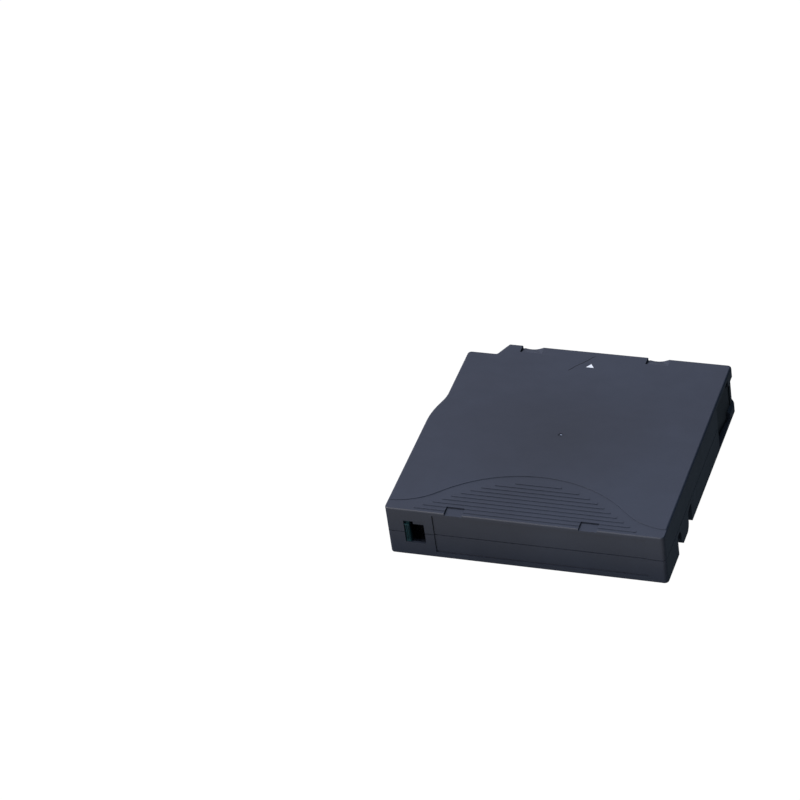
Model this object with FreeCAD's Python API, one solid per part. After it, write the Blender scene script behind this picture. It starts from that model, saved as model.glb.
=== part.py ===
import FreeCAD, Part
import math
import os

os.makedirs("parts", exist_ok=True)

V = FreeCAD.Vector
UP = V(0, 0, 1)

# All sizes are in millimetres. X runs across the label end, Y runs from the label end to the
# leading edge that enters the drive first, Z is up. The origin is under the middle of the case.

# Case
width = 105.4
depth = 102.0
height = 21.5
parting_z = 10.65
wall = 1.8
floor_t = 1.5
roof_t = 1.5
corner_r = 1.6
bottom_edge_r = 0.5
top_edge_r = 0.8
seam_half = 0.15
seam_deep = 0.7
running = 0.1
free = 0.3

# Insertion guide: the left side is narrower towards the leading edge, with a stepped corner
guide_inset = 3.3
guide_ramp_back = (45.2, 35.2)
guide_ramp_r = 33.0
guide_end_r = 15.5
guide_step_back = 6.6
guide_step_in = 14.7
guide_tip_in = 17.9

# Label recess in the label end, with a fine groove along its left and bottom edges
label_left_in = 18.0
label_right_in = 7.1
label_z0 = 2.4
label_top_in = 1.9
label_deep = 0.35
label_groove_deep = 0.35
label_side_groove = 0.15
label_foot_groove = 0.6

# Finger grip on top: a shallow bell-shaped step with cross ribs
grip_deep = 0.18
grip_peak_in = 26.0
grip_end_in = 4.8
grip_peak_r = 51.0
rib_count = 10
rib_first_in = 21.3
rib_pitch = 2.13
rib_w = 0.9
rib_h = 0.18
rib_arc_r = 43.8
rib_arc_top_in = 22.2
rib_side_angle = 35.7

# Notches in the two long top edges
edge_notch_x = (-29.8, 20.9)
edge_notch_w = 6.9
edge_notch_reach = 4.1
edge_notch_back = 0.45
edge_notch_front = 0.85
edge_slit_w = 0.35
edge_slit_deep = 1.0
lead_notch_x = (-29.4, 20.1)
lead_notch_w = 8.7
lead_notch_start = 1.2
lead_notch_deep = 1.75
lead_notch_deep_at = 3.9
lead_notch_reach = 4.4
lead_slit_w = 0.7
lead_slit_deep = 1.6
gate_r = 0.9
gate_deep = 0.25
gate_stub_r = 0.35

# Handling notches in both sides of the lower shell
side_notch_in = ((16.2, 20.6), (35.6, 30.9))
side_notch_deep = 3.8
side_notch_h = 8.7
side_notch_end_r = 0.7
side_notch_top_r = 2.4
side_notch_tongue_r = 4.0
pocket_wall = 1.2

# Write-protect window and slider
window_in0 = 6.7
window_in1 = 14.5
window_step_in = 10.2
window_z0 = 6.0
window_z1 = 14.4
window_step_z = 16.0
window_wall = 0.9
lintel_deep = 0.5
slider_w = 5.1
slider_t = 1.4
slider_lap = 2.0
slider_tab_w = 1.9
slider_tab_out = 0.8
slider_travel = 5.3
slider_rail_w = 1.0
slider_lip_h = 0.7
slider_groove_count = 3

# Screws and the bosses they clamp; each place is measured in from the nearest two sides
screw_in = ((7.9, 15.0), (-7.9, 15.0), (10.1, -12.4), (-18.7, -7.8))
screw_r = 1.2
screw_tip_z = 16.0
screw_seat_z = 4.2
screw_head_r = 2.3
screw_head_h = 1.6
boss_wall = 1.6
thread_clear = 0.02

# Positioning holes in the underside
datum_in_x = 16.2
datum_in_y = 7.0
datum_r = 1.5
datum_deep = 4.0
datum_wall = 1.2
slot_len = 4.6

# Reel
reel_room = 0.7
flange_t = 1.1
flange_z = 2.4
tape_w = 12.65
tape_gap = 0.2
pack_under = 4.5
hub_r = 22.0
hub_wall = 2.2
web_z0 = 2.0
web_z1 = 4.0
rim_r = 18.5
rim_w = 0.9
rim_z = 1.2
hub_hole_clear = 0.6
land_w = 2.4
spigot_w = 0.8
spigot_h = 1.95
reel_guard_gap = 0.8
reel_guard_t = 1.0
guard_arcs = ((212, 245), (295, 328), (125, 148), (56, 70))

# Teeth
tooth_count = 48
drive_r0 = 13.2
drive_r1 = 17.2
drive_tooth_h = 1.0
drive_tooth_base = 1.3
drive_tooth_tip = 0.5
brake_r0 = 16.4
brake_r1 = 19.1
brake_tooth_h = 1.3
brake_tooth_base = 0.95
brake_tooth_tip = 0.6

# Washer on the hub
washer_r = 12.8
washer_bore_r = 5.0
washer_t = 0.8
stake_r = 1.0
stake_at_r = 9.0
stake_count = 3
stake_first = 30.0

# Brake, its post and its spring
brake_disc_t = 1.6
pivot_r = 1.8
sleeve_r = 6.4
sleeve_h = 5.8
sleeve_floor = 0.4
post_reach = 4.2
post_w = 2.4
post_clear = 0.3
post_foot_z = 9.9
brake_coil_r = 7.6
brake_wire_r = 0.4
brake_coil_turns = 5
coil_steps = 16
coil_seat_w = 1.0
coil_seat_h = 1.4

# Clutch spider
spider_count = 3
spider_disc_r = 7.0
spider_t = 1.0
spider_arm_w = 4.2
spider_foot_r0 = 13.4
spider_foot_r1 = 15.4
spider_foot_z = 1.2
spider_clear = 0.2

# Access door in the right side, at the leading corner
door_t = 2.1
door_open_back = 25.0
door_lap = 3.0
door_lug_back = 7.7
door_skin = 1.0
door_travel = 15.0
door_foot_z = 5.1
door_foot_chamfer = 1.1
door_lug_z = 17.0
door_tab_w = 3.7
door_tab_t = 3.0
door_tab_back = 0.8
door_tab_low_gap = 0.2
door_slit = 0.8
door_rib_w = 1.0
door_rib_h = 1.9
door_rib_back = 15.0
wedge_lead_in = 1.0
wedge_run_out = 2.3
wedge_z0 = 11.5
wedge_z1 = 4.0
wedge_deep = 1.3
coil_block_w = 2.9
coil_block_l = 2.6
coil_block_h = 3.0
coil_pin_r = 0.6
coil_pin_l = 3.5

# Door spring
door_coil_l = 37.0
door_coil_r = 0.85
door_wire_r = 0.15
door_coil_turns = 11
coil_stop_t = 1.4

# Leader pin, its seats, clip, spring and the free tape
pin_in = 7.2
pin_back = 10.0
pin_r = 1.25
pin_head_r = 2.2
pin_head_t = 1.0
pin_seat_h = 0.7
pin_pocket_gap = 0.7
pin_pocket_t = 1.0
pin_pocket_h = 1.6
leader_t = 0.15
leader_off = 0.3
clip_t = 0.6
clip_gap_from = -75.0
clip_gap_to = -8.0
spring_t = 0.3
spring_reach = 4.6
spring_spine_w = 3.0
spring_link_w = 1.5
spring_finger_h = 0.7

# Memory chip on its sloping ribs
chip_size = 9.0
chip_t = 0.8
chip_in = 11.2
chip_slope = 8.0
chip_rib_w = 1.0
chip_rib_in = 1.0

# Places worked out from the sizes above
half_w = width / 2
half_d = depth / 2
in_x = half_w - wall
in_y = half_d - wall
roof_z = height - roof_t
guide_step_y = half_d - guide_step_back
label_x0 = -half_w + label_left_in
label_x1 = half_w - label_right_in
label_z1 = height - label_top_in
grip_peak_y = -half_d + grip_peak_in
grip_end_y = -half_d + grip_end_in
side_notch_y = [(-half_d + end, -half_d + tongue) for end, tongue in side_notch_in]
window_x0 = -half_w + window_in0
window_x1 = -half_w + window_in1
window_step_x = -half_w + window_step_in
screw_at = [(dx - math.copysign(half_w, dx), dy - math.copysign(half_d, dy)) for dx, dy in screw_in]
datum_x = half_w - datum_in_x
datum_y = -half_d + datum_in_y
flange_r = min(in_x, in_y) - reel_room
pack_r = flange_r - pack_under
hub_hole_r = rim_r + hub_hole_clear
pack_z0 = flange_z + flange_t + tape_gap
pack_z1 = pack_z0 + tape_w
top_flange_z = pack_z1 + tape_gap
hub_in_r = hub_r - hub_wall
disc_z = web_z1 + brake_tooth_h + free
disc_top_z = disc_z + brake_disc_t
spider_top_z = web_z1 + spider_t
door_open_y = half_d - door_open_back
door_lug_y = half_d - door_lug_back
door_x1 = half_w - door_skin - running
door_x0 = door_x1 - door_t
door_z0 = floor_t + free
door_z1 = roof_z - free
door_y0 = door_open_y - door_lap
door_y1 = door_lug_y - free
tab_z0 = door_foot_z + door_tab_low_gap
tab_z1 = door_lug_z - door_slit
wedge_y0 = door_open_y + wedge_lead_in
wedge_y1 = door_lug_y - wedge_run_out
coil_x = in_x - free - door_coil_r
coil_stop_y = door_y0 - door_coil_l
door_coil_z = side_notch_h + pocket_wall + free + door_coil_r + door_wire_r
pin_x = half_w - pin_in
pin_y = half_d - pin_back
pin_z0 = floor_t + pin_seat_h
pin_z1 = roof_z - pin_seat_h
slider_y0 = -half_d + window_wall + running
slider_y1 = slider_y0 + slider_t
slider_x0 = window_x0 + running + slider_tab_w - slider_w
slider_z0 = window_z0 - slider_lap
slider_z1 = window_step_z + slider_lap
chip_x0 = half_w - chip_in


def box(x0, x1, y0, y1, z0, z1):
    return Part.makeBox(x1 - x0, y1 - y0, z1 - z0, V(x0, y0, z0))


def cylinder(radius, z0, z1, x=0.0, y=0.0):
    return Part.makeCylinder(radius, z1 - z0, V(x, y, z0))


def ring(outer, inner, z0, z1, x=0.0, y=0.0):
    return cylinder(outer, z0, z1, x, y).cut(cylinder(inner, z0, z1, x, y))


def ring_arc(outer, inner, z0, z1, start, end):
    """Part of a ring about the origin, from one angle to another in degrees."""
    sector = Part.makeCylinder(outer, z1 - z0, V(0, 0, z0), UP, end - start)
    sector.rotate(V(0, 0, 0), UP, start)
    return sector.cut(cylinder(inner, z0, z1))


def prism(points, along):
    """Solid swept by a closed polygon of points along one vector."""
    return Part.Face(Part.makePolygon(points + points[:1])).extrude(along)


def turned_copies(shape, count, first=0.0):
    copies = []
    for i in range(count):
        copy = shape.copy()
        copy.rotate(V(0, 0, 0), UP, first + i * 360.0 / count)
        copies.append(copy)
    return copies


def mirrored(shape):
    return shape.mirror(V(0, 0, 0), V(1, 0, 0))


def rounded_outline(corners):
    """Closed wire through (x, y, radius) corners, each rounded by a tangent arc."""
    arcs = []
    for i, (x, y, radius) in enumerate(corners):
        here = V(x, y, 0)
        back = (V(corners[i - 1][0], corners[i - 1][1], 0) - here).normalize()
        after = corners[(i + 1) % len(corners)]
        ahead = (V(after[0], after[1], 0) - here).normalize()
        half = back.getAngle(ahead) / 2
        bisector = (back + ahead).normalize()
        middle = here + bisector * (radius / math.sin(half) - radius)
        reach = radius / math.tan(half)
        arcs.append((here + back * reach, middle, here + ahead * reach))
    edges = []
    for i, (start, middle, end) in enumerate(arcs):
        edges.append(Part.Arc(start, middle, end).toShape())
        edges.append(Part.LineSegment(end, arcs[(i + 1) % len(arcs)][0]).toShape())
    return Part.Wire(edges)


def inset(corners, distance):
    """The same corners moved inwards by one distance; they run anticlockwise."""
    moved = []
    for i, (x, y, radius) in enumerate(corners):
        here = V(x, y, 0)
        into = (here - V(corners[i - 1][0], corners[i - 1][1], 0)).normalize()
        after = corners[(i + 1) % len(corners)]
        out = (V(after[0], after[1], 0) - here).normalize()
        normal_in = V(-into.y, into.x, 0)
        normal_out = V(-out.y, out.x, 0)
        step = (normal_in + normal_out) * (distance / (1 + normal_in.dot(normal_out)))
        convex = into.x * out.y - into.y * out.x > 0
        new_radius = max(radius - distance, free) if convex else radius + distance
        moved.append((x + step.x, y + step.y, new_radius))
    return moved


def slab(corners, z0, z1):
    solid = Part.Face(rounded_outline(corners)).extrude(V(0, 0, z1 - z0))
    solid.translate(V(0, 0, z0))
    return solid


def edges_at(shape, z):
    return [e for e in shape.Edges if abs(e.BoundBox.ZMin - z) < 0.01 and abs(e.BoundBox.ZMax - z) < 0.01]


def case_corners():
    """Plan of the case: a square with the insertion guide along its left side."""
    guide_x = -half_w + guide_inset
    return [
        (-half_w, -half_d, corner_r),
        (half_w, -half_d, corner_r),
        (half_w, half_d, corner_r),
        (-half_w + guide_tip_in, half_d, corner_r / 2),
        (-half_w + guide_step_in, guide_step_y, corner_r / 2),
        (guide_x, guide_step_y, corner_r),
        (guide_x, half_d - guide_ramp_back[1], guide_end_r),
        (-half_w, half_d - guide_ramp_back[0], guide_ramp_r),
    ]


def case_block():
    """Outside of the closed case: rounded edges, the grooved label recess and the seam groove."""
    corners = case_corners()
    block = slab(corners, 0, height)
    block = block.makeFillet(bottom_edge_r, edges_at(block, 0))
    block = block.makeFillet(top_edge_r, edges_at(block, height))
    label_y = -half_d + label_deep
    groove_y = label_y + label_groove_deep
    left = box(label_x0, label_x0 + label_side_groove, -half_d - 1, groove_y, label_z0, label_z1)
    below = box(label_x0, label_x1, -half_d - 1, groove_y, label_z0, label_z0 + label_foot_groove)
    recess = box(label_x0, label_x1, -half_d - 1, label_y, label_z0, label_z1)
    block = block.cut([recess, left, below])
    seam_z0 = parting_z - seam_half
    seam_z1 = parting_z + seam_half
    seam = slab(corners, seam_z0, seam_z1).cut(slab(inset(corners, seam_deep), seam_z0, seam_z1))
    block = block.cut(seam)
    return block.cut(box(label_x0, label_x1, label_y, label_y + seam_deep, seam_z0, seam_z1))


def window_cutter():
    tall = box(window_x0, window_step_x, -half_d - 1, -in_y, window_z0, window_step_z)
    wide = box(window_x0, window_x1, -half_d - 1, -in_y, window_z0, window_z1)
    lintel = box(window_x0, window_x1, -half_d - 1, -half_d + lintel_deep, window_z0, window_step_z)
    return tall.fuse([wide, lintel])


def slider_pocket():
    """Thinner front wall along the slider's way."""
    x0 = slider_x0 - free
    x1 = slider_x0 + slider_w + slider_travel + free
    return box(x0, x1, -half_d + window_wall, -in_y, slider_z0 - running, slider_z1 + running)


def door_opening_cutter():
    """Side opening, the open corner between foot and lug, and the thinned channel behind the skin."""
    outside = half_w + 1
    tab_x = half_w - door_tab_back - door_tab_w
    side = box(in_x, outside, door_open_y, door_lug_y, floor_t, roof_z)
    corner = box(tab_x - free, outside, door_lug_y, half_d + 1, door_foot_z, door_lug_z)
    channel_y0 = door_y0 - door_travel - free
    channel = box(in_x, half_w - door_skin, channel_y0, door_lug_y, floor_t, roof_z)
    bevel_w = door_foot_chamfer + 1
    bevel = prism(
        [
            V(outside - bevel_w, door_lug_y, door_foot_z),
            V(outside, door_lug_y, door_foot_z),
            V(outside, door_lug_y, door_foot_z - bevel_w),
        ],
        V(0, half_d + 1 - door_lug_y, 0),
    )
    return side.fuse([corner, channel, bevel])


def door_ribs(z0, z1):
    rib_x1 = door_x0 - free / 2
    rib_y0 = door_y0 - door_travel + coil_block_l
    return box(rib_x1 - door_rib_w, rib_x1, rib_y0, half_d - door_rib_back, z0, z1)


def reel_guards(z0, z1):
    inner = flange_r + reel_guard_gap
    arcs = [ring_arc(inner + reel_guard_t, inner, z0, z1, start, end) for start, end in guard_arcs]
    return arcs


def pin_pocket(z0, z1):
    """Half ring round the pin's head, open towards the door and slotted for the pin's spring."""
    inner = pin_head_r + pin_pocket_gap
    pocket = ring(inner + pin_pocket_t, inner, z0, z1, pin_x, pin_y)
    side = inner + pin_pocket_t
    slot = spring_link_w / 2 + free
    mouth = box(pin_x, pin_x + side, pin_y - side, pin_y + side, z0, z1)
    return pocket.cut([mouth, box(pin_x - side, pin_x, pin_y - slot, pin_y + slot, z0, z1)])


def slider_rail(shelf_z, end_z, lip_z):
    """Shelf under or over the slider, with the lip that keeps it against the front wall."""
    x1 = window_x1 + slider_rail_w
    lip_y0 = slider_y1 + running
    lip_y1 = lip_y0 + slider_rail_w
    shelf = box(-in_x, x1, -in_y, lip_y1, min(shelf_z, end_z), max(shelf_z, end_z))
    lip = box(-in_x, x1, lip_y0, lip_y1, min(shelf_z, lip_z), max(shelf_z, lip_z))
    return shelf.fuse(lip)


def grip_face():
    """Region in front of the bell curve: two tail arcs and one arc over the peak."""
    rise = grip_peak_y - grip_end_y
    reach = half_w
    tail_r = (reach ** 2 + rise ** 2) / (2 * rise) - grip_peak_r
    turn = math.asin(reach / (grip_peak_r + tail_r))
    join_x = grip_peak_r * math.sin(turn)
    join_y = grip_peak_y - grip_peak_r * (1 - math.cos(turn))
    mid_x = reach - tail_r * math.sin(turn / 2)
    mid_y = grip_end_y + tail_r * (1 - math.cos(turn / 2))
    left = V(-reach, grip_end_y, 0)
    left_join = V(-join_x, join_y, 0)
    right_join = V(join_x, join_y, 0)
    right = V(reach, grip_end_y, 0)
    below = -half_d - 1
    edges = [
        Part.Arc(left, V(-mid_x, mid_y, 0), left_join).toShape(),
        Part.Arc(left_join, V(0, grip_peak_y, 0), right_join).toShape(),
        Part.Arc(right_join, V(mid_x, mid_y, 0), right).toShape(),
        Part.LineSegment(right, V(reach + 1, grip_end_y, 0)).toShape(),
        Part.LineSegment(V(reach + 1, grip_end_y, 0), V(reach + 1, below, 0)).toShape(),
        Part.LineSegment(V(reach + 1, below, 0), V(-reach - 1, below, 0)).toShape(),
        Part.LineSegment(V(-reach - 1, below, 0), V(-reach - 1, grip_end_y, 0)).toShape(),
        Part.LineSegment(V(-reach - 1, grip_end_y, 0), left).toShape(),
    ]
    return Part.Face(Part.Wire(edges))


def grip_rib_half(y):
    """Half length of the rib at y: under an arc near the middle, under a straight side beyond."""
    drop = -half_d + rib_arc_top_in - y
    angle = math.radians(rib_side_angle)
    arc_drop = rib_arc_r * (1 - math.cos(angle))
    if drop < arc_drop:
        return math.sqrt(rib_arc_r ** 2 - (rib_arc_r - drop) ** 2)
    return rib_arc_r * math.sin(angle) + (drop - arc_drop) / math.tan(angle)


def grip_ribs():
    floor_z = height - grip_deep
    ribs = []
    for i in range(rib_count):
        y = -half_d + rib_first_in - i * rib_pitch
        half = grip_rib_half(y) - rib_w / 2
        bar = box(-half, half, y - rib_w / 2, y + rib_w / 2, floor_z, floor_z + rib_h)
        ends = [cylinder(rib_w / 2, floor_z, floor_z + rib_h, x, y) for x in (-half, half)]
        ribs.append(bar.fuse(ends))
    return ribs


def edge_notches():
    """Notches in the label end's top edge: a falling floor, with a slit along its left and back walls."""
    back_y = -half_d + edge_notch_reach
    fall = (edge_notch_front - edge_notch_back) / edge_notch_reach
    cutters = []
    for x in edge_notch_x:
        points = [
            V(x, -half_d - 1, height + 1),
            V(x, -half_d - 1, height - edge_notch_front - fall),
            V(x, back_y, height - edge_notch_back),
            V(x, back_y, height + 1),
        ]
        slit_z = height - edge_slit_deep
        left = box(x, x + edge_slit_w, -half_d - 1, back_y, slit_z, height + 1)
        behind = box(x, x + edge_notch_w, back_y - edge_slit_w, back_y, slit_z, height + 1)
        cutters += [prism(points, V(edge_notch_w, 0, 0)), left, behind]
    return cutters


def lead_notches():
    """Scoops in the leading top edge: a narrow slit at one end, then a floor that falls outwards."""
    start_y = half_d - lead_notch_reach
    end_y = half_d + 1
    low_z = height - lead_notch_deep * (lead_notch_reach + 1) / lead_notch_reach
    cutters = []
    for x in lead_notch_x:
        x1 = x + lead_notch_w
        slope = prism(
            [V(x, start_y, height), V(x, end_y, low_z), V(x, end_y, height + 1), V(x, start_y, height + 1)],
            V(lead_notch_w, 0, 0),
        )
        start = V(x, start_y, height - lead_notch_start)
        deepest = V(x + lead_notch_deep_at, start_y, height - lead_notch_deep)
        end = V(x1, start_y, height)
        edges = [
            Part.Arc(start, deepest, end).toShape(),
            Part.LineSegment(end, V(x1, start_y, height + 1)).toShape(),
            Part.LineSegment(V(x1, start_y, height + 1), V(x, start_y, height + 1)).toShape(),
            Part.LineSegment(V(x, start_y, height + 1), start).toShape(),
        ]
        scoop = Part.Face(Part.Wire(edges)).extrude(V(0, lead_notch_reach + 1, 0))
        slit = box(x, x + lead_slit_w, start_y, end_y, height - lead_slit_deep, height + 1)
        cutters += [slope.common(scoop), slit]
    return cutters


def cross_bar(reach, bar_w, z0, z1):
    half = bar_w / 2
    along_x = box(-reach, reach, -half, half, z0, z1)
    return along_x.fuse(box(-half, half, -reach, reach, z0, z1))


def upper_shell(block):
    shell = block.common(box(-width, width, -depth, depth, parting_z, height + 1))
    shell = shell.cut(slab(inset(case_corners(), wall), parting_z - 1, roof_z))
    inside = [cross_bar(post_reach, post_w, post_foot_z, roof_z)]
    seat_r = brake_coil_r + brake_wire_r + free * 2
    inside.append(ring(seat_r + coil_seat_w, seat_r, roof_z - coil_seat_h, roof_z))
    for x, y in screw_at:
        inside.append(cylinder(screw_r + boss_wall, parting_z, roof_z, x, y))
    inside += reel_guards(parting_z, roof_z)
    inside.append(cylinder(pin_head_r, pin_z1, roof_z, pin_x, pin_y))
    inside.append(pin_pocket(roof_z - pin_pocket_h, roof_z))
    inside.append(slider_rail(slider_z1 + running, roof_z, slider_z1 - slider_lip_h))
    inside.append(door_ribs(roof_z - door_rib_h, roof_z))
    stop_x0 = coil_x - door_coil_r - door_wire_r
    inside.append(box(stop_x0, in_x, coil_stop_y - coil_stop_t, coil_stop_y, parting_z, roof_z))
    stop_pin = Part.makeCylinder(coil_pin_r, coil_pin_l, V(coil_x, coil_stop_y, door_coil_z), V(0, 1, 0))
    inside.append(stop_pin.common(box(0, width, -depth, depth, parting_z, height)))
    shell = shell.fuse(inside)
    shell = shell.cut([window_cutter(), slider_pocket(), door_opening_cutter()])
    holes = [cylinder(screw_r + thread_clear, parting_z - 1, screw_tip_z + 1, x, y) for x, y in screw_at]
    shell = shell.cut(holes)
    shell = shell.cut(grip_face().extrude(UP * 2).translated(V(0, 0, height - grip_deep)))
    shell = shell.fuse(grip_ribs())
    gate = ring(gate_r, gate_stub_r, height - gate_deep, height + 1)
    shell = shell.cut(edge_notches() + lead_notches() + [gate])
    return shell.removeSplitter()


def side_notch_cutter(end_y, tongue_y):
    """Pocket in the right side, open below, from its straight end wall to the rounded tongue."""
    way = math.copysign(1, tongue_y - end_y)
    past_end = end_y - way * (side_notch_end_r + 1)
    past_tongue = tongue_y + way * (side_notch_tongue_r + 1)
    corners = [
        (past_end, -1, free),
        (past_end, 0, free),
        (end_y, 0, side_notch_end_r),
        (end_y, side_notch_h, free),
        (tongue_y, side_notch_h, side_notch_top_r),
        (tongue_y, 0, side_notch_tongue_r),
        (past_tongue, 0, free),
        (past_tongue, -1, free),
    ]
    pocket = Part.Face(rounded_outline(corners)).extrude(V(0, 0, side_notch_deep + 1))
    pocket.rotate(V(0, 0, 0), V(1, 1, 1), 120)
    return pocket.translated(V(half_w - side_notch_deep, 0, 0))


def side_notch_walls(end_y, tongue_y):
    x0 = half_w - side_notch_deep - pocket_wall
    way = math.copysign(1, tongue_y - end_y)
    past_end = end_y - way * pocket_wall
    past_tongue = tongue_y + way * side_notch_tongue_r
    low_y = min(past_end, past_tongue)
    high_y = max(past_end, past_tongue)
    return box(x0, in_x + wall / 2, low_y, high_y, floor_t / 2, side_notch_h + pocket_wall)


def datum_cutters():
    hole = cylinder(datum_r, -1, datum_deep, -datum_x, datum_y)
    half = slot_len / 2 - datum_r
    slot = box(datum_x - half, datum_x + half, datum_y - datum_r, datum_y + datum_r, -1, datum_deep)
    ends = [cylinder(datum_r, -1, datum_deep, x, datum_y) for x in (datum_x - half, datum_x + half)]
    return [hole, slot.fuse(ends)]


def datum_cups():
    """Closed cups behind the two positioning holes."""
    outer = datum_r + datum_wall
    top = datum_deep + datum_wall
    half = slot_len / 2 - datum_r
    round_cup = cylinder(outer, floor_t, top, -datum_x, datum_y)
    slot_cup = box(datum_x - half, datum_x + half, datum_y - outer, datum_y + outer, floor_t, top)
    ends = [cylinder(outer, floor_t, top, x, datum_y) for x in (datum_x - half, datum_x + half)]
    return [round_cup, slot_cup.fuse(ends)]


def chip_ribs():
    """Two triangular ribs that hold the chip on a 45 degree slope in the front right corner."""
    ribs = []
    for x in (chip_x0 + chip_rib_in, chip_x0 + chip_size - chip_rib_in - chip_rib_w):
        points = [
            V(x, -in_y, floor_t),
            V(x, -in_y + chip_slope, floor_t),
            V(x, -in_y, floor_t + chip_slope),
        ]
        ribs.append(prism(points, V(chip_rib_w, 0, 0)))
    return ribs


def lower_shell(block):
    shell = block.common(box(-width, width, -depth, depth, -1, parting_z))
    shell = shell.cut(slab(inset(case_corners(), wall), floor_t, parting_z + 1))
    inside = [cylinder(hub_hole_r + land_w, floor_t, flange_z)]
    for x, y in screw_at:
        inside.append(cylinder(screw_head_r + boss_wall / 2, floor_t, screw_seat_z + boss_wall, x, y))
        inside.append(cylinder(screw_r + boss_wall, floor_t, parting_z, x, y))
    inside += reel_guards(floor_t, parting_z)
    inside += datum_cups()
    inside += chip_ribs()
    for end_y, tongue_y in side_notch_y:
        walls = side_notch_walls(end_y, tongue_y)
        inside += [walls, mirrored(walls)]
    inside.append(cylinder(pin_head_r, floor_t, pin_z0, pin_x, pin_y))
    inside.append(pin_pocket(floor_t, floor_t + pin_pocket_h))
    inside.append(slider_rail(slider_z0 - running, floor_t, slider_z0 + slider_lip_h))
    inside.append(door_ribs(floor_t, floor_t + door_rib_h))
    stop_x0 = coil_x - door_coil_r - door_wire_r
    inside.append(box(stop_x0, in_x, coil_stop_y - coil_stop_t, coil_stop_y, floor_t, parting_z))
    shell = shell.fuse(inside)
    hub_hole = cylinder(hub_hole_r, -1, flange_z + 1)
    cutters = [window_cutter(), slider_pocket(), door_opening_cutter(), hub_hole]
    for end_y, tongue_y in side_notch_y:
        notch = side_notch_cutter(end_y, tongue_y)
        cutters += [notch, mirrored(notch)]
    cutters += datum_cutters()
    for x, y in screw_at:
        cutters.append(cylinder(screw_head_r + free, -1, screw_seat_z, x, y))
        cutters.append(cylinder(screw_r + running, -1, parting_z + 1, x, y))
    return shell.cut(cutters).removeSplitter()


def case_screws():
    """Four self-tapping screws with a cross recess in each head."""
    screws = []
    head_z = screw_seat_z - screw_head_h
    for x, y in screw_at:
        head = cylinder(screw_head_r, head_z, screw_seat_z, x, y)
        shank = cylinder(screw_r, screw_seat_z, screw_tip_z, x, y)
        recess = cross_bar(screw_r, screw_r / 2, head_z, head_z + screw_head_h / 2)
        screws.append(head.fuse(shank).cut(recess.translated(V(x, y, 0))).removeSplitter())
    return Part.makeCompound(screws)


def tooth(r0, r1, base_z, tip_z, base_w, tip_w):
    """One radial tooth with sloping flanks, along +X."""
    points = [
        V(r0, -base_w / 2, base_z),
        V(r0, base_w / 2, base_z),
        V(r0, tip_w / 2, tip_z),
        V(r0, -tip_w / 2, tip_z),
    ]
    return prism(points, V(r1 - r0, 0, 0))


def spider_slots():
    half = spider_arm_w / 2 + spider_clear
    r0 = spider_foot_r0 - spider_clear * 2
    r1 = spider_foot_r1 + spider_clear * 2
    slot = box(r0, r1, -half, half, -1, web_z1 + 1)
    return turned_copies(slot, spider_count, 90.0)


def reel_hub():
    """Hub and lower flange in one moulding, with both rings of teeth and the washer's stakes."""
    rim_in = rim_r - rim_w
    section = [
        V(0, 0, web_z0),
        V(rim_in, 0, web_z0),
        V(rim_in, 0, rim_z),
        V(rim_r, 0, rim_z),
        V(rim_r, 0, flange_z),
        V(flange_r, 0, flange_z),
        V(flange_r, 0, flange_z + flange_t),
        V(hub_r, 0, flange_z + flange_t),
        V(hub_r, 0, top_flange_z),
        V(hub_in_r, 0, top_flange_z),
        V(hub_in_r, 0, web_z1),
        V(0, 0, web_z1),
    ]
    face = Part.Face(Part.makePolygon(section + section[:1]))
    body = face.revolve(V(0, 0, 0), UP, 360)
    tip_z = web_z0 - drive_tooth_h
    drive = tooth(drive_r0, drive_r1, web_z0, tip_z, drive_tooth_base, drive_tooth_tip)
    brake = tooth(brake_r0, brake_r1, web_z1, web_z1 + brake_tooth_h, brake_tooth_base, brake_tooth_tip)
    stake = cylinder(stake_r, web_z0 - washer_t, web_z0, stake_at_r)
    added = turned_copies(drive, tooth_count) + turned_copies(brake, tooth_count)
    added += turned_copies(stake, stake_count, stake_first)
    body = body.fuse(added)
    return body.cut(spider_slots()).removeSplitter()


def hub_washer():
    plate = ring(washer_r, washer_bore_r, web_z0 - washer_t, web_z0)
    hole = cylinder(stake_r + running, -1, web_z0 + 1, stake_at_r)
    return plate.cut(turned_copies(hole, stake_count, stake_first))


def upper_flange():
    spigot_r = hub_in_r - running
    disc = ring(flange_r, spigot_r - spigot_w, top_flange_z, top_flange_z + flange_t)
    spigot = ring(spigot_r, spigot_r - spigot_w, top_flange_z - spigot_h, top_flange_z)
    return disc.fuse(spigot).removeSplitter()


def tape_pack():
    return ring(pack_r, hub_r + thread_clear, pack_z0, pack_z1)


def brake_button():
    """Toothed brake disc with the cross-shaped socket that slides on the post."""
    disc = cylinder(brake_r1, disc_z, disc_top_z)
    pivot = cylinder(pivot_r, spider_top_z, disc_z)
    sleeve = cylinder(sleeve_r, disc_top_z, disc_top_z + sleeve_h)
    socket_z = disc_top_z + sleeve_floor
    socket = cross_bar(post_reach + post_clear, post_w + 2 * post_clear, socket_z, socket_z + sleeve_h)
    tip_z = web_z1 + free
    down = tooth(brake_r0, brake_r1, disc_z, tip_z, brake_tooth_base, brake_tooth_tip)
    teeth = turned_copies(down, tooth_count, 180.0 / tooth_count)
    solid = disc.fuse([pivot, sleeve] + teeth).common(cylinder(brake_r1, 0, height))
    return solid.cut(socket).removeSplitter()


def clutch_spider():
    half = spider_arm_w / 2
    arm = box(0, spider_foot_r1, -half, half, web_z1, spider_top_z)
    foot_half = half - spider_clear
    foot = box(spider_foot_r0, spider_foot_r1, -foot_half, foot_half, spider_foot_z, web_z1)
    legs = turned_copies(arm.fuse(foot), spider_count, 90.0)
    return cylinder(spider_disc_r, web_z1, spider_top_z).fuse(legs).removeSplitter()


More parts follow.
